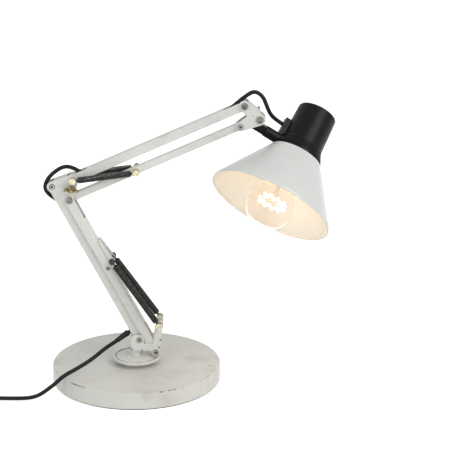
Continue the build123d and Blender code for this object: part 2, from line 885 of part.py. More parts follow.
cap_base = collar_height + seat
cap_top = cap_base + cap_height
with BuildPart() as head_cap:
    with BuildSketch(head_section):
        with BuildLine():
            Polyline(
                (0, cap_base),
                (cap_low_radius, cap_base),
                (cap_high_radius, cap_top),
                (0, cap_top),
                close=True,
            )
        make_face()
    revolve(axis=head_axis)
    cap_rim = head_cap.edges().sort_by(head_axis)[-1]
    fillet(cap_rim, cap_fillet)
    hood_face = cap_low_radius + hood_proud
    with BuildSketch(head_plane.offset(cap_base)):
        with Locations((-hood_face, 0)):
            Rectangle(hood_face, hood_width, align=(Align.MIN, Align.CENTER))
    extrude(amount=hood_height)
    with BuildSketch(head_section):
        with BuildLine():
            Polyline(
                (0, cap_base - cap_open),
                (cap_low_radius - cap_wall, cap_base - cap_open),
                (cap_high_radius - cap_wall, cap_top - cap_wall),
                (0, cap_top - cap_wall),
                close=True,
            )
        make_face()
    revolve(axis=head_axis, mode=Mode.SUBTRACT)
    hood_hole = cap_base + hood_hole_share * hood_height
    hood_way = head_plane.from_local_coords((-2 * hood_face, 0, hood_hole))
    with BuildSketch(Plane(hood_way, x_dir=(0, 1, 0), z_dir=stem_dir)):
        Circle(cable_radius + cable_hole_play / 2)
    extrude(amount=2 * hood_face, mode=Mode.SUBTRACT)
    with BuildSketch(head_plane.offset(cap_top - 2 * cap_wall)):
        Circle(button_radius + side_play)
    extrude(amount=3 * cap_wall, mode=Mode.SUBTRACT)
keep(head_cap, "head_cap")

with BuildPart() as shade:
    with BuildSketch(head_section):
        with BuildLine():
            rim = -shade_height
            Polyline(
                (shade_hole, 0),
                (shade_top_radius, 0),
                (shade_rim_radius, rim + rim_lip),
                (shade_rim_radius + rim_flare, rim),
                (shade_rim_radius - shade_wall, rim),
                (shade_rim_radius - shade_wall, rim + rim_lip),
                (shade_top_radius - shade_wall, -shade_wall),
                (shade_hole, -shade_wall),
                close=True,
            )
        make_face()
    revolve(axis=head_axis)
keep(shade, "shade")

with BuildPart() as lampholder:
    with BuildSketch(head_section):
        with BuildLine():
            Polyline(
                (bulb_cap_radius + side_play, holder_bottom),
                (holder_radius, holder_bottom),
                (holder_radius, holder_top),
                (0, holder_top),
                (0, bulb_cap_top + side_play),
                (bulb_cap_radius + side_play, bulb_cap_top + side_play),
                close=True,
            )
        make_face()
    revolve(axis=head_axis)
keep(lampholder, "lampholder")

with BuildPart() as holder_rings:
    for level in (-shade_wall - seat - holder_ring_height, collar_height - holder_ring_height):
        with BuildSketch(head_plane.offset(level)):
            Circle(shade_hole + holder_ring if level < 0 else shade_hole - seat)
            Circle(holder_radius + seat, mode=Mode.SUBTRACT)
        extrude(amount=holder_ring_height)
keep(holder_rings, "holder_rings")

with BuildPart() as bulb_cap:
    with BuildSketch(head_section):
        with BuildLine():
            Polyline(
                (0, bulb_neck_top),
                (bulb_cap_radius, bulb_neck_top),
                (bulb_cap_radius, bulb_cap_top - bulb_cap_taper),
                (0.4 * bulb_cap_radius, bulb_cap_top),
                (0, bulb_cap_top),
                close=True,
            )
        make_face()
    revolve(axis=head_axis)
keep(bulb_cap, "bulb_cap")


def bulb_profile(inset, top):
    """Half outline of the glass, drawn in by inset, closed along the axis at the level top."""
    radius = bulb_radius - inset
    neck = bulb_cap_radius - inset
    shoulder = bulb_neck_top - bulb_shoulder
    rise = shoulder - bulb_centre
    flare = (neck**2 + rise**2 - radius**2) / (2 * (radius - neck))
    share = radius / (radius + flare)
    join = (share * (neck + flare), bulb_centre + share * rise)
    with BuildLine() as outline:
        Polyline((0, top), (neck, top), (neck, shoulder))
        TangentArc((neck, shoulder), join, tangent=(0, -1))
        TangentArc(join, (0, bulb_centre - radius), tangent=(rise, -neck - flare))
        Line((0, bulb_centre - radius), (0, top))
    make_face(outline.edges())


with BuildPart() as bulb_glass:
    with BuildSketch(head_section):
        bulb_profile(0, bulb_neck_top - seat)
    revolve(axis=head_axis)
    with BuildSketch(head_section):
        bulb_profile(glass, bulb_neck_top - seat)
    revolve(axis=head_axis, mode=Mode.SUBTRACT)
keep(bulb_glass, "bulb_glass")

with BuildPart() as bulb_mount:
    with BuildSketch(head_section):
        with BuildLine():
            Polyline(
                (0, bulb_neck_top - seat),
                (2 * mount_radius, bulb_neck_top - seat),
                (mount_radius, bulb_neck_top - mount_flare),
                (mount_tip_radius, bulb_neck_top - mount_taper),
                (mount_tip_radius, bulb_centre + mount_tip),
                (0, bulb_centre + mount_tip),
                close=True,
            )
        make_face()
    revolve(axis=head_axis)
keep(bulb_mount, "bulb_mount")

with BuildPart() as switch_button:
    with BuildSketch(head_plane.offset(cap_top - 3 * cap_wall)):
        Circle(button_radius)
    extrude(amount=3 * cap_wall + button_travel + button_proud)
    fillet(switch_button.edges().sort_by(head_axis)[-1], button_fillet)
    with BuildSketch(head_plane.offset(cap_top - 3 * cap_wall)):
        Circle(button_radius + button_rim)
    extrude(amount=cap_wall - button_travel / 10)
keep(switch_button, "switch_button")


# Springs and cables are swept along lines and arcs
def biarc(start, start_dir, end, end_dir):
    """Place and direction of the joint between two tangent arcs from a start to an end."""
    across = end - start
    both = start_dir + end_dir
    a = 2 * (start_dir.dot(end_dir) - 1)
    b = -2 * across.dot(both)
    c = across.dot(across)
    reach = -c / b if abs(a) < 1e-9 else (-b - math.sqrt(b * b - 4 * a * c)) / (2 * a)
    first = start + start_dir * reach
    second = end - end_dir * reach
    return (first + second) / 2, (second - first).normalized()


def wind(knots):
    """Line through knots, (place, direction), by pairs of tangent arcs and straight where it can be."""
    with BuildLine() as path:
        for (start, start_dir), (end, end_dir) in zip(knots, knots[1:]):
            if (end - start).normalized().cross(start_dir).length < 1e-6:
                Line(start, end)
                continue
            joint, joint_dir = biarc(start, start_dir, end, end_dir)
            TangentArc(start, joint, tangent=start_dir)
            TangentArc(joint, end, tangent=joint_dir)
    return path.line


def least_gap(line, thickness):
    """Least gap of a wound tube to itself, measured on points along it."""
    places = []
    run = 0.0
    samples = 6
    for edge in line.edges():
        for index in range(samples):
            places.append((run + edge.length * index / samples, edge.position_at(index / samples)))
        run += edge.length
    gap = run
    for index, (near_run, near) in enumerate(places):
        for far_run, far in places[index + 1:]:
            if far_run - near_run > 4 * thickness:
                gap = min(gap, (near - far).length - thickness)
    return gap


def rod(line, thickness, sides):
    """Sweeps a many-sided section along a line, in the current part."""
    start_dir = line.edges()[0].tangent_at(0)
    with BuildSketch(Plane(line.edges()[0].position_at(0), z_dir=start_dir)) as section:
        RegularPolygon(thickness / 2, sides)
    sweep(section.sketch, path=line, clean=False)


def spring_line(start, end, start_gap, end_gap, start_lead, end_lead, turns):
    """Middle line of a spring between two anchor axes: a straight end, the turns and a straight end."""
    run = (end - start).length
    along = (end - start).normalized()
    across = along.cross(Vector(0, 1, 0)).normalized()
    aside = along.cross(across)
    rise = (run - start_lead - end_lead) / turns
    knots = [(start + along * start_gap, along), (start + along * (start_gap + wire), along)]
    for half in range(2 * turns + 1):
        angle = math.pi * half
        out = across * math.cos(angle) + aside * math.sin(angle)
        place = start + along * (start_lead + rise * half / 2) + out * spring_radius
        heading = aside * math.cos(angle) - across * math.sin(angle)
        knots.append((place, (heading * (2 * math.pi * spring_radius) + along * rise).normalized()))
    knots += [(end - along * (end_gap + wire), along), (end - along * end_gap, along)]
    return wind(knots)


for sign, side in ((-1, "front"), (1, "rear")):
    line = spring_line(
        Vector(roller_place[0], sign * roller_hook_y, roller_place[1]),
        Vector(lower_anchor[0], sign * lower_anchor_y, lower_anchor[1]),
        roller_radius + end_play,
        spool_core + end_play,
        roller_lead,
        spool_lead,
        lower_turns,
    )
    print("lower spring", side, "least gap", round(least_gap(line, wire), 2))
    with BuildPart() as lower_spring:
        rod(line, wire, wire_sides)
    keep(lower_spring, "lower_spring_" + side)
    line = spring_line(
        Vector(upper_pivot[0], sign * upper_anchor_y, upper_pivot[1]),
        Vector(upper_anchor[0], sign * upper_anchor_y, upper_anchor[1]),
        spool_core + end_play,
        spool_core + end_play,
        spool_lead,
        spool_lead,
        upper_turns,
    )
    print("upper spring", side, "least gap", round(least_gap(line, wire), 2))
    with BuildPart() as upper_spring:
        rod(line, wire, wire_sides)
    keep(upper_spring, "upper_spring_" + side)


def corner_radii(places):
    """Largest radius that fits at each inner point of a route, from its two runs and its turn."""
    radii = []
    for before, here, after in zip(places, places[1:], places[2:]):
        turn_angle = math.radians((here - before).get_angle(after - here))
        run = min((here - before).length, (after - here).length)
        radii.append(0.45 * run / math.tan(turn_angle / 2))
    return radii


def cord(label, route):
    """Cable along straight runs and tangent arcs, written as a piece of its own; returns its length."""
    places = [Vector(*place) for place in route]
    radii = corner_radii(places)
    with BuildLine() as path:
        FilletPolyline(*places, radius=radii)
    with BuildPart() as cable:
        with BuildSketch(Plane(places[0], z_dir=places[1] - places[0])) as section:
            Circle(cable_radius)
        sweep(section.sketch, path=path.line)
    length = sum(edge.length for edge in path.line.edges())
    share = cable.part.volume / (math.pi * cable_radius**2 * length)
    print(label, "length", round(length, 1), "volume share", round(share, 4))
    print(label, "radii", [round(radius, 1) for radius in radii])
    keep(cable, label)
    return length


def on_bar(plane, along, left):
    """Place in the arms' middle plane, counted along a bar and to its left."""
    return tuple(plane.from_local_coords((along, left, 0)))


def from_pivot(pivot, dx, y, dz):
    """Place counted from a pivot, y from the arms' middle plane."""
    return (pivot[0] + dx, y, pivot[1] + dz)


# Cable runs inside the tubes
lower_run_start = lead_exit_along - cable_radius
lower_run_end = lower_length - lower_run_back
upper_run_end = upper_length - upper_run_back
for label, plane, start, end in (
    ("lower_cable_run", lower_plane, lower_run_start, lower_run_end),
    ("upper_cable_run", upper_plane, upper_run_start, upper_run_end),
):
    with BuildPart() as cable_run:
        run_foot = plane.from_local_coords((start, 0, 0))
        with BuildSketch(Plane(run_foot, x_dir=(0, 1, 0), z_dir=plane.x_dir)):
            Circle(cable_radius)
        extrude(amount=end - start)
    keep(cable_run, label)

# Rubber ring in the lower tube's back wall, round the lead
grommet_plane = Plane(
    lower_plane.from_local_coords((lead_exit_along, tube_half - tube_wall, 0)),
    x_dir=lower_plane.x_dir,
    z_dir=lower_plane.y_dir,
)
with BuildPart() as lead_grommet:
    with BuildSketch(grommet_plane):
        Circle(port_size / 2 - pin_play)
    extrude(amount=tube_wall + grommet_proud)
    with BuildSketch(grommet_plane.offset(tube_wall + seat)):
        Circle(port_size / 2 + grommet_wall)
    extrude(amount=grommet_proud)
    with BuildSketch(grommet_plane):
        Circle(cable_radius + cable_hole_play / 2)
    extrude(amount=tube_size, mode=Mode.SUBTRACT)
keep(lead_grommet, "lead_grommet")

# Loop over the elbow, from the lower tube's back wall into the upper tube's top wall
elbow_loop_route = [
    on_bar(lower_plane, lower_run_end, 0.0),
    on_bar(lower_plane, lower_run_end + 11.0, 0.0),
    on_bar(lower_plane, lower_run_end + 24.0, 4.0),
    from_pivot(elbow_pivot, -4.7, 0, -11.7),
    from_pivot(elbow_pivot, -10.2, 0, -2.6),
    from_pivot(elbow_pivot, -5.6, 0, 9.2),
    from_pivot(elbow_pivot, 4.2, 0, 18.6),
    from_pivot(elbow_pivot, 15.4, 0, 24.8),
    on_bar(upper_plane, 5.6, 12.2),
    on_bar(upper_plane, 14.0, 0.0),
    on_bar(upper_plane, upper_run_start, 0.0),
]
cord("elbow_loop", elbow_loop_route)

# Loop over the head bracket, from the upper tube's open end into the cap's hood
hood_out = head_plane.from_local_coords((-hood_face - hood_lead, 0, hood_hole))
hood_in = head_plane.from_local_coords((-hood_face + hood_tuck, 0, hood_hole))
head_loop_route = [
    on_bar(upper_plane, upper_run_end, 0.0),
    on_bar(upper_plane, upper_run_end + 12.0, 0.0),
    on_bar(upper_plane, upper_run_end + 26.0, 2.2),
    on_bar(upper_plane, upper_run_end + 39.0, 6.4),
    from_pivot(head_pivot, 0.6, 0, 10.6),
    from_pivot(head_pivot, 11.9, 0.4, 17.8),
    from_pivot(head_pivot, 22.2, 1.4, 10.8),
    from_pivot(head_pivot, 26.9, 3.2, -1.8),
    from_pivot(head_pivot, 31.9, 5.8, -14.2),
    tuple(hood_out),
    tuple(hood_in),
]
cord("head_loop", head_loop_route)


# Mains lead, from the lower tube over the base's edge and along the table to its coil
def lead_place(radius, z):
    """Place on the way that the lead takes outwards over the base."""
    x, y = polar(lead_heading, radius)
    return (x, y, z)


coil_x = -base_radius - coil_away
coil_floor = cable_radius + coil_lift
coil_start = (coil_x, coil_y - coil_outer, coil_floor)
table = cable_radius + table_play
lead_before = from_pivot(lower_pivot, -27.1, -9.0, -0.7)
lead_after = from_pivot(lower_pivot, -41.9, -21.0, -6.4)
lead_split = tuple((Vector(*lead_before) + Vector(*lead_after)) / 2)
lead_exit_route = [
    on_bar(lower_plane, lead_exit_along, cable_radius + seat),
    on_bar(lower_plane, lead_exit_along, 11.0),
    lead_before,
    lead_split,
]
mains_lead_route = [
    lead_split,
    lead_after,
    lead_place(0.63 * base_radius, base_height + 18.4),
    lead_place(0.85 * base_radius, base_height + 11.0),
    lead_place(base_radius - 3.4, base_height + 8.0),
    lead_place(base_radius + 6.0, base_height + 4.6),
    lead_place(base_radius + 13.6, base_height - 0.4),
    (coil_x + 113.2, coil_start[1] + 1.4, 0.72 * base_height),
    (coil_x + 102.3, coil_start[1] + 0.6, table + 5.0),
    (coil_x + 93.0, coil_start[1] - 0.1, table + 1.4),
    (coil_x + 82.0, coil_start[1] - 0.7, table + 0.1),
    (coil_x + 64.0, coil_start[1] - 0.5, table),
    (coil_x + 46.0, coil_start[1] + 0.3, table),
    (coil_x + 31.0, coil_start[1] + 0.5, table + 0.4),
    (coil_x + 17.0, coil_start[1], coil_floor),
    (coil_x + cable_diameter, coil_start[1], coil_floor),
]
lead_length = cord("lead_exit", lead_exit_route) + cord("mains_lead", mains_lead_route)


def coil_knots():
    """Places and directions, a quarter turn apart: loops spiral in and out, a layer up each time."""
    knots = []
    coil_inner = coil_outer - coil_step * layer_turns
    for quarter in range(round(4 * coil_turns) + 1):
        turns = quarter / 4
        layer = min(int(turns // layer_turns), coil_layers - 1)
        into = turns - layer * layer_turns
        outward = 1 if layer % 2 else -1
        radius = (coil_inner if layer % 2 else coil_outer) + outward * coil_step * into
        reversal = into == 0 and layer > 0
        level = layer - 0.5 if reversal else layer
        angle = math.radians(-90 - 360 * turns)
        out = Vector(math.cos(angle), math.sin(angle), 0)
        ahead = Vector(math.sin(angle), -math.cos(angle), 0)
        drift = out * outward * coil_step / (2 * math.pi)
        if reversal:
            drift = Vector(0, 0, 1.5 * coil_step / math.pi)
        place = Vector(coil_x, coil_y, coil_floor + level * coil_step) + out * radius
        knots.append((place, (ahead * radius + drift).normalized()))
    return knots


# The coil ends in a tail that comes down to the plug's own height
plug_axis = plug_radius + seat
loops = coil_knots()
coil_heading = Vector(-1, 0, 0)
tail_heading = Vector(0, 1, 0)
lead_in = Vector(*coil_start)
loops[0] = (lead_in, coil_heading)
tail_start = loops[-1][0]
tail_end = Vector(tail_start.X, tail_start.Y + tail_run, plug_axis)
plug_place = tail_end + tail_heading * cable_diameter
knots = [(lead_in - coil_heading * cable_diameter, coil_heading)]
knots += loops[:-1]
knots += [(tail_start, tail_heading), (tail_end, tail_heading), (plug_place, tail_heading)]
coil_line = wind(knots)
coil_length = sum(edge.length for edge in coil_line.edges())
coil_gap = least_gap(coil_line, cable_diameter)
print("mains_coil length", round(coil_length, 1), "least gap", round(coil_gap, 2))
print("mains cord length", round(lead_length + coil_length, 1))
with BuildPart() as mains_coil:
    rod(coil_line, cable_diameter, cord_sides)
keep(mains_coil, "mains_coil")

# Band round the coil, on the side away from its reversals
bundle_middle = coil_outer - coil_step
bundle_width = coil_step + cable_diameter + 2 * tie_play
bundle_height = (coil_layers - 1) * coil_step + cable_diameter + 2 * tie_play
bundle_level = coil_floor + (coil_layers - 1) * coil_step / 2
tie_plane = Plane((coil_x, coil_y + bundle_middle, bundle_level), x_dir=(0, 1, 0), z_dir=(1, 0, 0))
with BuildPart() as coil_tie:
    with BuildSketch(tie_plane):
        RectangleRounded(bundle_width + 2 * tie_thickness, bundle_height + 2 * tie_thickness, tie_bend)
        RectangleRounded(bundle_width, bundle_height, tie_bend - tie_thickness, mode=Mode.SUBTRACT)
    extrude(amount=tie_width / 2, both=True)
keep(coil_tie, "coil_tie")

# Round two-pin plug, lying beside the coil
plug_neck = 1.9 * cable_radius
plug_plane = Plane(plug_place, x_dir=(1, 0, 0), z_dir=tail_heading)
plug_section = Plane(plug_place, x_dir=(1, 0, 0), z_dir=(0, 0, 1))
with BuildPart() as plug_body:
    with BuildSketch(plug_section):
        with BuildLine():
            Polyline(
                (0, 0),
                (plug_neck, 0),
                (1.3 * plug_neck, 0.25 * plug_length),
                (0.8 * plug_radius, 0.4 * plug_length),
                (plug_radius, 0.55 * plug_length),
                (plug_radius, 0.92 * plug_length),
                (0.93 * plug_radius, plug_length),
                (0, plug_length),
                close=True,
            )
        make_face()
    revolve(axis=Axis(plug_place, tail_heading))
keep(plug_body, "plug_body")

with BuildPart() as plug_pins:
    with BuildSketch(plug_plane.offset(plug_length)):
        with Locations((-plug_pin_spacing / 2, 0), (plug_pin_spacing / 2, 0)):
            Circle(plug_pin_radius)
    extrude(amount=plug_pin_length)
    fillet(plug_pins.edges().group_by(Axis.Y)[-1], 0.6 * plug_pin_radius)
keep(plug_pins, "plug_pins")
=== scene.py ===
"""Looks of the spring balanced desk lamp, in metres, in the same frame as its solids."""
import json
import math

import bpy
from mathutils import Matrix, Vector

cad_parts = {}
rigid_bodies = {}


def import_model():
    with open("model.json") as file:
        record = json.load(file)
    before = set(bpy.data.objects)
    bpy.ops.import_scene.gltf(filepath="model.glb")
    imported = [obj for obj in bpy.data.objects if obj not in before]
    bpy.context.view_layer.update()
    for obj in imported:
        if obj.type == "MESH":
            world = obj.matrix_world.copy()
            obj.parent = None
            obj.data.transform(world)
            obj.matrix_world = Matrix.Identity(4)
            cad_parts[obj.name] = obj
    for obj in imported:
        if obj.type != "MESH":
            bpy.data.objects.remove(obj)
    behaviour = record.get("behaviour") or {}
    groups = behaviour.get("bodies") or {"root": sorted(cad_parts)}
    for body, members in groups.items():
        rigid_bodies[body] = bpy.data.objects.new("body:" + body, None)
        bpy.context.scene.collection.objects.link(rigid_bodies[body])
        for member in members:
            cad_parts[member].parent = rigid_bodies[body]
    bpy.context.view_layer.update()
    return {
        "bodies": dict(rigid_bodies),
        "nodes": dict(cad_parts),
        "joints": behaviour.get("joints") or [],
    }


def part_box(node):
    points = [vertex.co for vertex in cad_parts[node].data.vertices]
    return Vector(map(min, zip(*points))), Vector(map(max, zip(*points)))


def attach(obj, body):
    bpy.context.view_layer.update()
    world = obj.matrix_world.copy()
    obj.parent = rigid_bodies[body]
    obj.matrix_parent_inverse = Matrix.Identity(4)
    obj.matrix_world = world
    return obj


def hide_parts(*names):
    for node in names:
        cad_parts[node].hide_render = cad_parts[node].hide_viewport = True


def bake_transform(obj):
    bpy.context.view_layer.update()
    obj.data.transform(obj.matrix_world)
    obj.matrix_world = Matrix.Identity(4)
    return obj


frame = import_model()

scene = bpy.context.scene
scene.view_settings.view_transform = "Standard"

# Camera, at the photograph's angle
camera_place = (0.1113, -2.3673, 0.972)
camera_tilt = 72.0
camera_lens = 161.5
camera_sensor = 36.0
camera_data = bpy.data.cameras.new("camera")
camera_data.lens = camera_lens
camera_data.sensor_width = camera_sensor
camera = bpy.data.objects.new("camera", camera_data)
camera.location = camera_place
camera.rotation_euler = (math.radians(camera_tilt), 0, 0)
scene.collection.objects.link(camera)
scene.camera = camera

# Sizes that the pieces below share with the solids
base_radius = 0.105
base_height = 0.022
disc_radius = 0.0296
cable_diameter = 0.005
wire = 0.0015
spring_radius = 0.0033
spool_core = 0.0027
roller_radius = 0.0023
lower_hook_y = 0.017
roller_hook_y = 0.0126
upper_hook_y = 0.013
pivot = {joint["name"]: Vector(joint["pos_m"]) for joint in frame["joints"] if joint["type"] == "hinge"}

# Frame of the head: its axis runs up through the cap, and X is along the stem
head_x = Vector((0.8480, 0, -0.5299))
head_up = Vector((0.4393, 0.5592, 0.7031))
head_side = head_up.cross(head_x)
head_origin = Vector((0.19719, -0.00447, 0.29220))


def in_head(x, y, z):
    """Place given in the head's own frame."""
    return head_origin + head_x * x + head_side * y + head_up * z


def middle(node):
    """Middle of a node's box, in the arms' plane."""
    low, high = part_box(node)
    place = (low + high) / 2
    return Vector((place.x, 0, place.z))


class Finish:
    """Procedural material, put together node by node before its principled shader."""

    def __init__(self, name, **sockets):
        self.material = bpy.data.materials.new(name)
        self.material.use_nodes = True
        tree = self.material.node_tree
        self.nodes = tree.nodes
        self.links = tree.links
        self.shader = tree.nodes["Principled BSDF"]
        self.output = tree.nodes["Material Output"]
        self.place = self.nodes.new("ShaderNodeTexCoord").outputs["Object"]
        for socket, value in sockets.items():
            self.give(socket.replace("_", " "), value)

    def put(self, socket, value):
        """Links a node's output to a socket, or writes a plain value on it."""
        if isinstance(value, bpy.types.NodeSocket):
            self.links.new(value, socket)
        elif isinstance(value, tuple) and len(value) == 3 and socket.type == "RGBA":
            socket.default_value = (*value, 1)
        else:
            socket.default_value = value

    def give(self, name, value):
        """Puts a value on one of the principled shader's inputs."""
        self.put(self.shader.inputs[name], value)

    def add(self, kind, *values, **settings):
        """New node with its inputs filled in order; None leaves one as it is."""
        node = self.nodes.new(kind)
        for name, value in settings.items():
            setattr(node, name, value)
        for socket, value in zip(node.inputs, values):
            if value is not None:
                self.put(socket, value)
        return node

    def noise(self, scale, detail, stretch=None):
        """Cloudy pattern, with features of about one metre over scale."""
        place = self.place
        if stretch:
            place = self.add("ShaderNodeVectorMath", place, stretch, operation="MULTIPLY").outputs[0]
        node = self.add("ShaderNodeTexNoise")
        self.put(node.inputs["Vector"], place)
        self.put(node.inputs["Scale"], scale)
        self.put(node.inputs["Detail"], detail)
        return node.outputs[0]

    def window(self, value, low, high):
        """0 below low, 1 above high, even between; the other way round where low is the larger."""
        return self.add("ShaderNodeMapRange", value, low, high).outputs[0]

    def maths(self, operation, *values):
        """Sum, product or the like of numbers and patterns."""
        return self.add("ShaderNodeMath", *values, operation=operation).outputs[0]

    def mix(self, share, first, second):
        """Colour between two, by share."""
        node = self.add("ShaderNodeMix", data_type="RGBA")
        self.put(node.inputs[0], share)
        self.put(node.inputs[6], first)
        self.put(node.inputs[7], second)
        return node.outputs[2]

    def bump(self, height, strength, depth):
        """Relief from a pattern of heights."""
        node = self.add("ShaderNodeBump")
        self.put(node.inputs["Strength"], strength)
        self.put(node.inputs["Distance"], depth)
        self.put(node.inputs["Height"], height)
        self.give("Normal", node.outputs[0])

    def edges(self, radius, low, high):
        """1 on sharp edges, 0 on flat places."""
        bevel = self.add("ShaderNodeBevel", radius).outputs[0]
        flat = self.add("ShaderNodeNewGeometry").outputs["Normal"]
        alike = self.add("ShaderNodeVectorMath", bevel, flat, operation="DOT_PRODUCT").outputs["Value"]
        return self.window(alike, high, low)

    def upright(self):
        """Distance from the lamp's upright axis, and height above the table, on pieces that stand on it."""
        x, y, z = self.add("ShaderNodeSeparateXYZ", self.place).outputs
        square = self.maths("ADD", self.maths("MULTIPLY", x, x), self.maths("MULTIPLY", y, y))
        return self.maths("SQRT", square), z

    def near(self, place, inner, outer):
        """1 within the inner distance of a place, 0 beyond the outer one."""
        away = self.add("ShaderNodeVectorMath", self.place, place, operation="DISTANCE").outputs["Value"]
        return self.window(away, outer, inner)

    def off_axis(self, place):
        """Distance from the axis along Y through a place."""
        flat = self.add("ShaderNodeVectorMath", self.place, (1, 0, 1), operation="MULTIPLY").outputs[0]
        foot = (place.x, 0, place.z)
        return self.add("ShaderNodeVectorMath", flat, foot, operation="DISTANCE").outputs["Value"]

    def upward(self, low, high):
        """1 on faces that look up, where dust lies."""
        normal = self.add("ShaderNodeNewGeometry").outputs["Normal"]
        return self.window(self.add("ShaderNodeSeparateXYZ", normal).outputs[2], low, high)


# Patterns of the finishes, in features to a metre
cloud_scale = 26
speck_scale = 700
spot_scale = 330
rub_scale = 190
skin_scale = 900
finger_scale = 70
dust_scale = 240
scratch_scale = 1400
scratch_stretch = (1, 8, 1)
edge_chip_scale = 240
edge_line_scale = 420
groove_scale = 160
felt_scale = 900
fibre_scale = 2200

# Depth of the finishes' relief, and the radius within which an edge is worn
paint_relief = 0.0002
plastic_relief = 0.00015
scratch_relief = 0.0001
felt_relief = 0.0005
worn_edge = 0.0009

# Colour of the iron under the enamel, also used for painted shade in the swivel disc's groove, and colour of
# painted shade in a rivet's bore
bare_iron_or_shade = (0.09, 0.082, 0.07)
bore_shade = (0.03, 0.027, 0.022)


def paint(name, clean, dirty, grime, chips, wear, rough=0.42, marks_and_shade=None, spread=58):
    """Old enamel: clouded colour, grime in patches, dark chips and worn edges, and the piece's own marks,
    which on the swivel disc are painted shade.
    """
    finish = Finish(name, Specular_IOR_Level=0.45)
    clouds = finish.window(finish.noise(cloud_scale, 6), 0.35, 0.7)
    colour = finish.mix(clouds, clean, tuple(0.93 * part for part in clean))
    patches = finish.window(finish.noise(spread, 9), 0.66 - 0.2 * grime, 0.78)
    specks = finish.window(finish.noise(speck_scale, 3), 0.62, 0.7)
    soiled = finish.maths("MULTIPLY", patches, finish.maths("MULTIPLY_ADD", specks, 0.5, 0.45))
    colour = finish.mix(soiled, colour, dirty)
    spot_level = 0.74 - 0.06 * chips
    spots = finish.window(finish.noise(spot_scale, 4), spot_level, spot_level + 0.015)
    rub_level = 0.62 - 0.12 * wear
    rubbed = finish.window(finish.noise(rub_scale, 5), rub_level, rub_level + 0.05)
    worn = finish.maths("MULTIPLY", finish.edges(worn_edge, 0.8, 0.97), rubbed)
    bare_or_shaded = finish.maths("MAXIMUM", spots, worn)
    # The piece's own marks take the colour of the iron under the enamel; on the swivel disc they are painted
    # shade in its groove.
    if marks_and_shade:
        bare_or_shaded = finish.maths("MAXIMUM", bare_or_shaded, marks_and_shade(finish))
    finish.give("Base Color", finish.mix(bare_or_shaded, colour, bare_iron_or_shade))
    finish.give("Roughness", finish.maths("MULTIPLY_ADD", soiled, 0.22, rough))
    sunk = finish.maths("MULTIPLY", bare_or_shaded, -0.6)
    finish.bump(finish.maths("MULTIPLY_ADD", finish.noise(skin_scale, 2), 0.25, sunk), 0.25, paint_relief)
    return finish


def plastic(name, colour, dusty, rough, grain=1600, shine=0.24):
    """Moulded plastic with a fine grain, finger marks and a little dust on top."""
    finish = Finish(name, Specular_IOR_Level=shine)
    fingers = finish.window(finish.noise(finger_scale, 6), 0.4, 0.75)
    patches = finish.window(finish.noise(dust_scale, 8), 0.45, 0.75)
    dust = finish.maths("MULTIPLY", finish.upward(0.2, 1.0), patches)
    finish.give("Base Color", finish.mix(finish.maths("MULTIPLY", dust, 0.12), colour, dusty))
    finish.give("Roughness", finish.maths("MULTIPLY_ADD", fingers, 0.16, rough))
    finish.bump(finish.noise(grain, 2), 0.12, plastic_relief)
    return finish


def metal(name, bright, dull, rough, scale=220, marks_and_shade=None):
    """Plated or unplated metal with tarnish in patches, fine scratches, and painted shade where a mask is
    given.
    """
    finish = Finish(name, Metallic=1.0)
    tarnish = finish.window(finish.noise(scale, 7), 0.38, 0.66)
    scratches = finish.noise(scratch_scale, 3, scratch_stretch)
    colour = finish.mix(tarnish, bright, dull)
    # Painted shade: the given mask darkens the colour towards near black, in a rivet's bore and round its
    # head.
    if marks_and_shade:
        colour = finish.mix(marks_and_shade(finish), colour, bore_shade)
    finish.give("Base Color", colour)
    scratched = finish.maths("MULTIPLY_ADD", scratches, 0.12, rough)
    finish.give("Roughness", finish.maths("MULTIPLY_ADD", tarnish, 0.25, scratched))
    finish.bump(scratches, 0.1, scratch_relief)
    return finish


def felt_cloth(name, dark, pale):
    """Pressed felt with short fibres."""
    finish = Finish(name, Roughness=0.95)
    finish.give("Base Color", finish.mix(finish.noise(felt_scale, 6), dark, pale))
    finish.bump(finish.noise(fibre_scale, 3), 0.6, felt_relief)
    return finish


def clear_glass(name, tint, haze_tint, haze):
    """Thin clear glass that lets light through and glows a little where light falls on it."""
    finish = Finish(name, Base_Color=tint, Transmission_Weight=1.0, IOR=1.08, Roughness=0.0)
    glow = finish.add("ShaderNodeBsdfTranslucent", haze_tint)
    hazy = finish.add("ShaderNodeMixShader", haze)
    finish.put(hazy.inputs[1], finish.shader.outputs[0])
    finish.put(hazy.inputs[2], glow.outputs[0])
    rays = finish.add("ShaderNodeLightPath")
    passing = finish.add("ShaderNodeMixShader", rays.outputs["Is Shadow Ray"])
    finish.put(passing.inputs[1], hazy.outputs[0])
    finish.put(passing.inputs[2], finish.add("ShaderNodeBsdfTransparent").outputs[0])
    finish.put(finish.output.inputs["Surface"], passing.outputs[0])
    return finish


# Places of single marks that the photograph shows
worn_line = (-0.070, -0.078, base_height)
chipped_edge = (0.041, -0.0967, base_height)
dark_spot = (0.0925, -0.015, base_height)
bracket_chips = [
    (0.0304, -0.0099, 0.0549),
    (0.0286, -0.0099, 0.0449),
    (-0.0050, -0.0099, 0.0422),
    (0.0073, -0.0099, 0.0408),
]


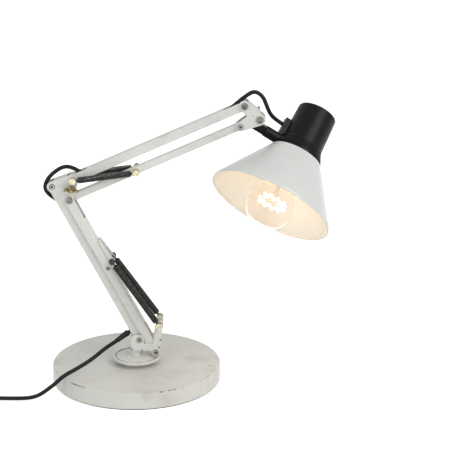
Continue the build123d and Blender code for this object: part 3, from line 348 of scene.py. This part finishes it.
def base_marks(finish):
    """Worn line and chips along the base's top edge, and one dark spot on its top."""
    radius, height = finish.upright()
    rim = finish.window(radius, base_radius - 0.0024, base_radius - 0.0016)
    top = finish.window(height, base_height - 0.0012, base_height - 0.0006)
    edge = finish.maths("MULTIPLY", rim, top)
    pattern = finish.noise(edge_chip_scale, 5)
    chips = finish.window(pattern, 0.62, 0.65)
    line_pattern = finish.window(finish.noise(edge_line_scale, 4), 0.42, 0.5)
    line = finish.maths("MULTIPLY", finish.near(worn_line, 0.009, 0.015), line_pattern)
    chipped = finish.near(chipped_edge, 0.012, 0.018)
    more_chips = finish.maths("MULTIPLY", chipped, finish.window(pattern, 0.5, 0.54))
    worn = finish.maths("MAXIMUM", finish.maths("MAXIMUM", chips, more_chips), line)
    spot = finish.near(dark_spot, 0.0010, 0.0016)
    return finish.maths("MAXIMUM", finish.maths("MULTIPLY", edge, worn), spot)


def disc_groove_shade(finish):
    """Painted shade in the groove that runs round the swivel disc, darker in patches."""
    radius = finish.upright()[0]
    inner = finish.window(radius, disc_radius - 0.0050, disc_radius - 0.0044)
    outer = finish.window(radius, disc_radius - 0.0021, disc_radius - 0.0025)
    patchy_shade = finish.maths("MULTIPLY", finish.window(finish.noise(groove_scale, 4), 0.3, 0.55), 0.75)
    return finish.maths("MULTIPLY", finish.maths("MULTIPLY", inner, outer), patchy_shade)


def bracket_marks(finish):
    """Chips on the base bracket's corners."""
    bare_or_shaded = 0.0
    for place in bracket_chips:
        bare_or_shaded = finish.maths("MAXIMUM", bare_or_shaded, finish.near(place, 0.0006, 0.0017))
    return bare_or_shaded


def rivet_bore_shade(node):
    """Painted shade in a rivet's bore and round the rim of its head."""
    place = middle(node)
    low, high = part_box(node)
    rim = (high.x - low.x) / 2

    def marks_and_shade(finish):
        away = finish.off_axis(place)
        bore = finish.window(away, 0.0015, 0.0011)
        return finish.maths("MAXIMUM", bore, finish.window(away, rim - 0.0007, rim - 0.0002))

    return marks_and_shade


# Finishes
arm_white = (0.68, 0.685, 0.65)
arm_dirt = (0.42, 0.40, 0.33)
shade_white = (0.655, 0.66, 0.64)
shade_dirt = (0.53, 0.51, 0.46)
base_white = (0.65, 0.65, 0.61)
disc_white = (0.67, 0.67, 0.635)
base_dirt = (0.42, 0.40, 0.34)
arm_paint = paint("arm_enamel", arm_white, arm_dirt, grime=0.2, chips=0.15, wear=0.5)
bracket_paint = paint(
    "bracket_enamel", arm_white, arm_dirt, grime=0.25, chips=0.3, wear=1.0, marks_and_shade=bracket_marks
)
shade_paint = paint("shade_enamel", shade_white, shade_dirt, grime=0.05, chips=0.0, wear=0.15, rough=0.28)
base_paint = paint(
    "base_enamel", base_white, base_dirt, grime=0.5, chips=0.15, wear=0.2, marks_and_shade=base_marks, spread=26
)
# The swivel disc's enamel gets painted shade in its groove, in the colour of the iron under the enamel.
disc_paint = paint("disc_enamel", disc_white, base_dirt, grime=0.4, chips=0.2, wear=0.5, marks_and_shade=disc_groove_shade)
felt = felt_cloth("felt", dark=(0.03, 0.028, 0.025), pale=(0.09, 0.085, 0.075))
iron = metal("cast_iron", (0.12, 0.12, 0.12), (0.07, 0.06, 0.05), rough=0.6)
steel = metal("plated_steel", (0.6, 0.6, 0.58), (0.34, 0.33, 0.3), rough=0.28)
screw_steel = metal("screw_steel", (0.27, 0.255, 0.23), (0.12, 0.11, 0.095), rough=0.36)
dark_steel = metal("dark_steel", (0.09, 0.088, 0.08), (0.04, 0.036, 0.03), rough=0.4)
spring_steel = metal("spring_steel", (0.075, 0.072, 0.07), (0.035, 0.033, 0.031), rough=0.34, scale=500)
brass = metal("aged_brass", (0.36, 0.29, 0.15), (0.17, 0.13, 0.06), rough=0.36)
spool_brass = metal("pale_brass", (0.75, 0.70, 0.54), (0.5, 0.44, 0.29), rough=0.36)
bulb_metal = metal("bulb_cap_metal", (0.72, 0.69, 0.6), (0.5, 0.46, 0.38), rough=0.25)
nylon = plastic("nylon", (0.6, 0.59, 0.54), (0.4, 0.38, 0.33), rough=0.5)
black_plastic = plastic("black_plastic", (0.005, 0.005, 0.0055), (0.06, 0.06, 0.057), rough=0.3, shine=0.13)
holder_plastic = plastic("holder_plastic", (0.62, 0.6, 0.54), (0.45, 0.42, 0.36), rough=0.4)
rubber = plastic("rubber", (0.016, 0.016, 0.016), (0.1, 0.1, 0.095), rough=0.55, grain=900)
cable_skin = plastic(
    "cable_skin", (0.008, 0.008, 0.008), (0.05, 0.05, 0.047), rough=0.38, grain=700, shine=0.18
)
tie_plastic = plastic("tie_plastic", (0.02, 0.02, 0.02), (0.1, 0.1, 0.1), rough=0.4)
glass = clear_glass("bulb_glass", tint=(0.93, 0.92, 0.94), haze_tint=(1.0, 0.95, 0.78), haze=0.022)
rivet_bright = (0.5, 0.495, 0.475)
rivet_dull = (0.3, 0.29, 0.26)
rivets = ("lower_pivot_rivet", "elbow_rivet", "link_end_rivet", "channel_pivot_screw", "saddle_rivets")

finishes = {
    arm_paint: "lower_tube lower_channel spring_saddle elbow_bracket upper_tube upper_link head_bracket",
    bracket_paint: "base_bracket swivel_post",
    base_paint: "base_cover",
    disc_paint: "swivel_disc",
    shade_paint: "shade",
    felt: "base_pad",
    iron: "base_weight",
    nylon: "thrust_washer",
    steel: "swivel_spindle spindle_nut plug_pins",
    screw_steel: "channel_top_screw head_pivot_screw tilt_bolt",
    dark_steel: "spring_roller",
    brass: "elbow_wing_nut head_wing_nut elbow_clamp_bolt",
    spool_brass: "lower_spools elbow_spools link_spools lower_spring_studs upper_pivot_pin link_spring_pin",
    black_plastic: "head_knuckle head_collar head_cap switch_button plug_body",
    holder_plastic: "lampholder holder_rings",
    bulb_metal: "bulb_cap",
    glass: "bulb_glass bulb_mount",
    rubber: "lead_grommet",
    tie_plastic: "coil_tie",
}
# Each rivet's finish gets painted shade in its bore and round the rim of its head.
for rivet in rivets:
    finishes[metal(rivet, rivet_bright, rivet_dull, rough=0.3, marks_and_shade=rivet_bore_shade(rivet))] = rivet
for finish, names in finishes.items():
    for name in names.split():
        slots = frame["nodes"][name].data.materials
        slots.clear()
        slots.append(finish.material)


def new_piece(name, places, faces, finish, smooth=True):
    """Mesh object with one finish."""
    mesh = bpy.data.meshes.new(name)
    mesh.from_pydata(places, [], faces)
    mesh.polygons.foreach_set("use_smooth", [smooth] * len(mesh.polygons))
    mesh.materials.append(finish.material)
    piece = bpy.data.objects.new(name, mesh)
    scene.collection.objects.link(piece)
    return piece


def spline_line(places, steps):
    """Points of the smooth line that has these places as its control points."""
    curve = bpy.data.curves.new("route", "CURVE")
    curve.dimensions = "3D"
    spline = curve.splines.new("NURBS")
    spline.points.add(len(places) - 1)
    for point, place in zip(spline.points, places):
        point.co = (*place, 1)
    spline.order_u = 3
    spline.use_endpoint_u = True
    spline.resolution_u = steps
    holder = bpy.data.objects.new("route", curve)
    scene.collection.objects.link(holder)
    mesh = bpy.data.meshes.new_from_object(holder)
    line = [vertex.co.copy() for vertex in mesh.vertices]
    bpy.data.objects.remove(holder)
    bpy.data.meshes.remove(mesh)
    return line


def tube(name, line, radius, sides, finish):
    """Round tube along a line, closed at both ends; radius is a number or one for each point."""
    radii = radius if isinstance(radius, list) else [radius] * len(line)
    ahead = (line[1] - line[0]).normalized()
    out = ahead.orthogonal().normalized()
    places = []
    for index, here in enumerate(line):
        before = line[max(index - 1, 0)]
        after = line[min(index + 1, len(line) - 1)]
        new_ahead = (after - before).normalized()
        out = ahead.rotation_difference(new_ahead) @ out
        ahead = new_ahead
        side = ahead.cross(out)
        for part in range(sides):
            angle = 2 * math.pi * part / sides
            places.append(here + (out * math.cos(angle) + side * math.sin(angle)) * radii[index])
    faces = [tuple(range(sides))[::-1]]
    for index in range(len(line) - 1):
        for part in range(sides):
            first = index * sides + part
            second = index * sides + (part + 1) % sides
            faces.append((first, second, second + sides, first + sides))
    faces.append(tuple(range(len(places) - sides, len(places))))
    return new_piece(name, places, faces, finish)


def split(line, *shares):
    """Cuts a line at shares of its points; neighbours share their end point."""
    cuts = [0] + [round(share * (len(line) - 1)) for share in shares] + [len(line) - 1]
    return [line[first:last + 1] for first, last in zip(cuts, cuts[1:])]


# Cords: the routes of the solids, as control points
elbow_route = [
    (-0.0806, 0, 0.2166), (-0.0857, 0, 0.2264), (-0.0953, 0, 0.2360), (-0.1048, 0, 0.2421),
    (-0.1103, 0, 0.2512), (-0.1057, 0, 0.2630), (-0.0959, 0, 0.2724), (-0.0847, 0, 0.2786),
    (-0.0743, 0, 0.2766), (-0.0616, 0, 0.2688), (-0.0507, 0, 0.2736),
]
head_route = [
    (0.0937, 0, 0.3373), (0.1047, 0, 0.3422), (0.1166, 0, 0.3498), (0.1268, 0, 0.3589),
    (0.1355, 0, 0.3661), (0.1468, 0.0004, 0.3733), (0.1571, 0.0014, 0.3663), (0.1618, 0.0032, 0.3537),
    (0.1668, 0.0058, 0.3413), (0.1765, 0.0108, 0.3318), (0.1850, 0.0108, 0.3265),
]
exit_route = [
    (-0.0041, 0, 0.0647), (-0.0115, 0, 0.0608), (-0.0231, -0.0090, 0.0541), (-0.0305, -0.0150, 0.0512),
]
lead_route = [
    (-0.0305, -0.0150, 0.0512), (-0.0379, -0.0210, 0.0484), (-0.0535, -0.0389, 0.0404),
    (-0.0722, -0.0525, 0.0330), (-0.0822, -0.0597, 0.0300), (-0.0898, -0.0652, 0.0266),
    (-0.0959, -0.0697, 0.0216), (-0.1038, -0.0712, 0.0158), (-0.1147, -0.0720, 0.0076),
    (-0.1240, -0.0727, 0.0040), (-0.1350, -0.0733, 0.0027), (-0.1530, -0.0731, 0.0026),
    (-0.1710, -0.0723, 0.0026), (-0.1860, -0.0721, 0.0030), (-0.2000, -0.0726, 0.0041),
]
plug_route = [
    (-0.253, -0.038, 0.0209), (-0.253, -0.023, 0.0185), (-0.253, -0.012, 0.01305), (-0.253, -0.003, 0.01305),
]

# The unseen length lies in a coil: two turns inwards, two outwards, a layer up at each reversal
coil_middle = Vector((-0.217, -0.038, 0.0041))
coil_outer = 0.0346
coil_step = 0.0056
coil_turns = 8.25
layer_turns = 2
top_layer = 3
climb_turns = 0.5
turn_points = 16
rounding = 1.0194


def coil_place(turns):
    """Control point of the coil after so many turns."""
    layer = min(int(turns // layer_turns), top_layer)
    into = turns - layer * layer_turns
    inwards = layer % 2 == 0
    radius = coil_outer - coil_step * (into if inwards else layer_turns - into)
    climb = 0
    for reversal in range(1, top_layer + 1):
        climb += min(1, max(0, (turns - layer_turns * reversal) / climb_turns + 0.5))
    angle = math.radians(-90 - 360 * turns)
    out = Vector((math.cos(angle), math.sin(angle), 0))
    return coil_middle + out * radius * rounding + Vector((0, 0, coil_step * climb))


coil_route = [coil_place(count / turn_points) for count in range(round(coil_turns * turn_points))]
loop_steps = 10
lead_steps = 5
exit_line = spline_line(exit_route, loop_steps)
lead_line = spline_line(lead_route + coil_route + plug_route, lead_steps)
elbow_line = spline_line(elbow_route, loop_steps)
head_line = spline_line(head_route, loop_steps)

# Where a stretch of cable begins and ends to bend, if not at its own ends
cable_sides = 16
elbow_cut = 0.48
head_cuts = (0.4, 0.77)


def cable(name, line, nodes):
    """A stretch of cable between two bodies, in place of the solids it hides."""
    piece = tube(name, line, cable_diameter / 2, cable_sides, cable_skin)
    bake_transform(piece)
    if nodes:
        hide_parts(*nodes)


elbow_first, elbow_second = split(elbow_line, elbow_cut)
head_first, head_second, head_third = split(head_line, *head_cuts)
cable("mains_stub", exit_line, ["lead_exit"])
cable(
    "mains_cord",
    lead_line,
    ["mains_lead", "mains_coil"],
)
cable("elbow_cable_low", elbow_first, ["elbow_loop"])
cable("elbow_cable_high", elbow_second, [])
cable("head_cable_low", head_first, ["head_loop"])
cable("head_cable_mid", head_second, [])
cable("head_cable_high", head_third, [])

# Cable inside the tubes
run_steps = 12
run_inset = 0.0115


def inner_run(name, node, start, end, body):
    """The cable where it lies inside a tube, between two stretches that show."""
    line = [start.lerp(end, step / run_steps) for step in range(run_steps + 1)]
    piece = tube(name, line, cable_diameter / 2, cable_sides, cable_skin)
    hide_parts(node)
    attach(piece, body)


lower_dir = (pivot["elbow_carry"] - pivot["lower_arm"]).normalized()
run_start = pivot["lower_arm"] + lower_dir * run_inset
inner_run("cable_in_lower_tube", "lower_cable_run", run_start, elbow_line[0], "lower_tube")
inner_run("cable_in_upper_tube", "upper_cable_run", elbow_line[-1], head_line[0], "upper_tube")

# Tapered sleeve where the mains lead leaves the lower tube, with a ring at every third point
sleeve_wide = 0.0043
sleeve_narrow = 0.0030
sleeve_groove = 0.00035
ring_every = 3
sleeve_first = 6
sleeve_last = 23
sleeve_sides = 20
sleeve_line = exit_line[sleeve_first:sleeve_last + 1]
sleeve_radii = []
for index in range(len(sleeve_line)):
    share = index / (len(sleeve_line) - 1)
    groove = sleeve_groove if index % ring_every else 0.0
    sleeve_radii.append(sleeve_wide + (sleeve_narrow - sleeve_wide) * share - groove)
sleeve = tube("lead_sleeve", sleeve_line, sleeve_radii, sleeve_sides, rubber)
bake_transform(sleeve)

# Springs: close turns that taper to a hook of about one and a half turns at each end
turn_pitch = 1.06 * wire
turn_steps = 20
wire_sides = 8
spring_lead = 0.0058
taper_turns = 1.2
tip_share = 0.22
hook_steps = 36
hook_pitch = 1.2 * wire
hook_gap = 0.0001
hook_start = -290
hook_sweep = 575


def hook_points(anchor, core, along, across):
    """Round the anchor's core, from its far side to the spring's axis."""
    reach = core + wire / 2 + hook_gap
    places = []
    for index in range(hook_steps + 1):
        share = index / hook_steps
        angle = math.radians(hook_start + hook_sweep * share)
        offset = Vector((0, hook_pitch * (share - 0.5), 0))
        out = along * math.cos(angle) + across * math.sin(angle)
        places.append(anchor + offset + out * reach)
    return places


def spring_points(start, end, start_core, end_core):
    """Line of a spring's wire from hook to hook."""
    along = (end - start).normalized()
    across = along.cross(Vector((0, 1, 0))).normalized()
    aside = along.cross(across)
    body = (end - start).length - 2 * spring_lead
    turns = round(body / turn_pitch)
    places = hook_points(start, start_core, along, across)
    for index in range(turns * turn_steps + 1):
        turned = index / turn_steps
        taper = min(1, min(turned, turns - turned) / taper_turns)
        radius = spring_radius * (tip_share + (1 - tip_share) * math.sin(taper * math.pi / 2))
        angle = 2 * math.pi * turned
        out = across * math.cos(angle) + aside * math.sin(angle)
        places.append(start + along * (spring_lead + body * turned / turns) + out * radius)
    return places + hook_points(end, end_core, -along, across)[::-1]


def spring(name, start, end, start_core, end_core, node):
    """Spring from a place on the first body to one on the second, in place of the solid it hides."""
    line = spring_points(start, end, start_core, end_core)
    piece = tube(name, line, wire / 2, wire_sides, spring_steel)
    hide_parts(node)
    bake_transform(piece)


lower_anchor = middle("lower_spools")
roller_place = middle("spring_roller")
upper_anchor = middle("link_spools")
elbow_anchor = middle("elbow_spools")
for sign, side in ((-1, "front"), (1, "rear")):
    spring(
        "lower_coil_" + side,
        lower_anchor + Vector((0, sign * lower_hook_y, 0)),
        roller_place + Vector((0, sign * roller_hook_y, 0)),
        spool_core,
        roller_radius,
        "lower_spring_" + side,
    )
    spring(
        "upper_coil_" + side,
        elbow_anchor + Vector((0, sign * upper_hook_y, 0)),
        upper_anchor + Vector((0, sign * upper_hook_y, 0)),
        spool_core,
        spool_core,
        "upper_spring_" + side,
    )

# Lit filament on its wires, inside the bulb
filament_level = -0.067
filament_radius = 0.0165
filament_span = 300
filament_thickness = 0.0003
filament_sides = 6
zigzags = 9
zigzag_height = 0.0026
twists = 90
twist_steps = 8
twist_radius = 0.0012
holder_shares = (0, 3 / zigzags, 6 / zigzags, 1)
holder_thickness = 0.00035
holder_sides = 8
holder_steps = 6
holder_top = -0.046
holder_bend = -0.055
holder_knee = -0.060
outer_root = 0.0026
inner_root = 0.001
hot = Finish(
    "hot_filament",
    Base_Color=(0.1, 0.09, 0.08),
    Emission_Color=(1.0, 0.72, 0.40),
    Emission_Strength=17.0,
)


def filament_place(share, radius_change=0.0, level_change=0.0):
    """Place along the filament: round the bulb's axis, up and down between its holders."""
    angle = math.radians(filament_span * (share - 0.5))
    wave = abs(2 * (share * zigzags % 1) - 1) - 0.5
    radius = filament_radius + radius_change
    level = filament_level + 2 * zigzag_height * wave + level_change
    return in_head(radius * math.cos(angle), radius * math.sin(angle), level)


filament_line = []
for index in range(twists * twist_steps + 1):
    turned = 2 * math.pi * index / twist_steps
    share = index / (twists * twist_steps)
    twist = (twist_radius * math.cos(turned), twist_radius * math.sin(turned))
    filament_line.append(filament_place(share, *twist))
filament = tube("bulb_filament", filament_line, filament_thickness, filament_sides, hot)
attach(filament, "head")
for index, share in enumerate(holder_shares):
    angle = math.radians(filament_span * (share - 0.5))
    root = outer_root if share in (0, 1) else inner_root
    knee = filament_radius / 2
    holder_route = [
        in_head(root * math.cos(angle), root * math.sin(angle), holder_top),
        in_head(root * math.cos(angle), root * math.sin(angle), holder_bend),
        in_head(knee * math.cos(angle), knee * math.sin(angle), holder_knee),
        filament_place(share),
    ]
    holder_name = "filament_wire_" + str(index + 1)
    holder_line = spline_line(holder_route, holder_steps)
    holder = tube(holder_name, holder_line, holder_thickness, holder_sides, bulb_metal)
    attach(holder, "head")

# Light of the bulb, which moves with the head
bulb_light_level = -0.075
bulb_light = bpy.data.lights.new("bulb_light", "POINT")
bulb_light.energy = 0.066
bulb_light.color = (1.0, 0.69, 0.35)
bulb_light.shadow_soft_size = 0.008
bulb_lamp = bpy.data.objects.new("bulb_light", bulb_light)
bulb_lamp.location = in_head(0, 0, bulb_light_level)
bulb_lamp.visible_transmission = False
bulb_lamp.visible_glossy = False
bulb_lamp.parent = frame["bodies"]["head"]
scene.collection.objects.link(bulb_lamp)


def seen_rays(nodes, links):
    """1 on rays from the camera, also by way of metal and glass, and 0 on rays that only bring light."""
    rays = nodes.new("ShaderNodeLightPath").outputs
    seen = rays["Is Camera Ray"]
    for name in ("Is Glossy Ray", "Is Transmission Ray"):
        either = nodes.new("ShaderNodeMath")
        either.operation = "MAXIMUM"
        links.new(seen, either.inputs[0])
        links.new(rays[name], either.inputs[1])
        seen = either.outputs[0]
    return seen


# Floor, white to the camera, with the lamp's own shadow on it
floor_half = 4.0
floor_drop = 0.0002
floor_glow = 0.62
floor_finish = Finish("floor", Base_Color=(0.86, 0.86, 0.855), Roughness=0.9, Emission_Color=(1, 1, 1))
floor_seen = seen_rays(floor_finish.nodes, floor_finish.links)
floor_finish.give("Emission Strength", floor_finish.maths("MULTIPLY", floor_seen, floor_glow))
corners = [(x * floor_half, y * floor_half, 0) for x, y in ((-1, -1), (1, -1), (1, 1), (-1, 1))]
floor = new_piece("floor", corners, [(0, 1, 2, 3)], floor_finish, smooth=False)
floor.location.z = -floor_drop

# Studio light: a world that is white to the camera and dimmer as light, and two soft lamps
world_light = 0.55
world = bpy.data.worlds.new("studio")
world.use_nodes = True
scene.world = world
world_nodes = world.node_tree.nodes
world_links = world.node_tree.links
background = world_nodes["Background"]
background.inputs["Color"].default_value = (1, 1, 1, 1)
strength = world_nodes.new("ShaderNodeMapRange")
strength.inputs["To Min"].default_value = world_light
strength.inputs["To Max"].default_value = 1.0
world_links.new(seen_rays(world_nodes, world_links), strength.inputs["Value"])
world_links.new(strength.outputs[0], background.inputs["Strength"])
light_target = Vector((0.03, 0, 0.18))


def area_light(name, place, size, energy):
    """Soft light aimed at the middle of the lamp."""
    light = bpy.data.lights.new(name, "AREA")
    light.shape = "SQUARE"
    light.size = size
    light.energy = energy
    lamp = bpy.data.objects.new(name, light)
    lamp.location = place
    aim = light_target - Vector(place)
    lamp.rotation_euler = aim.to_track_quat("-Z", "Y").to_euler()
    scene.collection.objects.link(lamp)


area_light("key_light", (1.5, -1.1, 1.5), size=1.3, energy=22.0)
area_light("fill_light", (-1.2, -1.4, 0.9), size=1.2, energy=9.0)
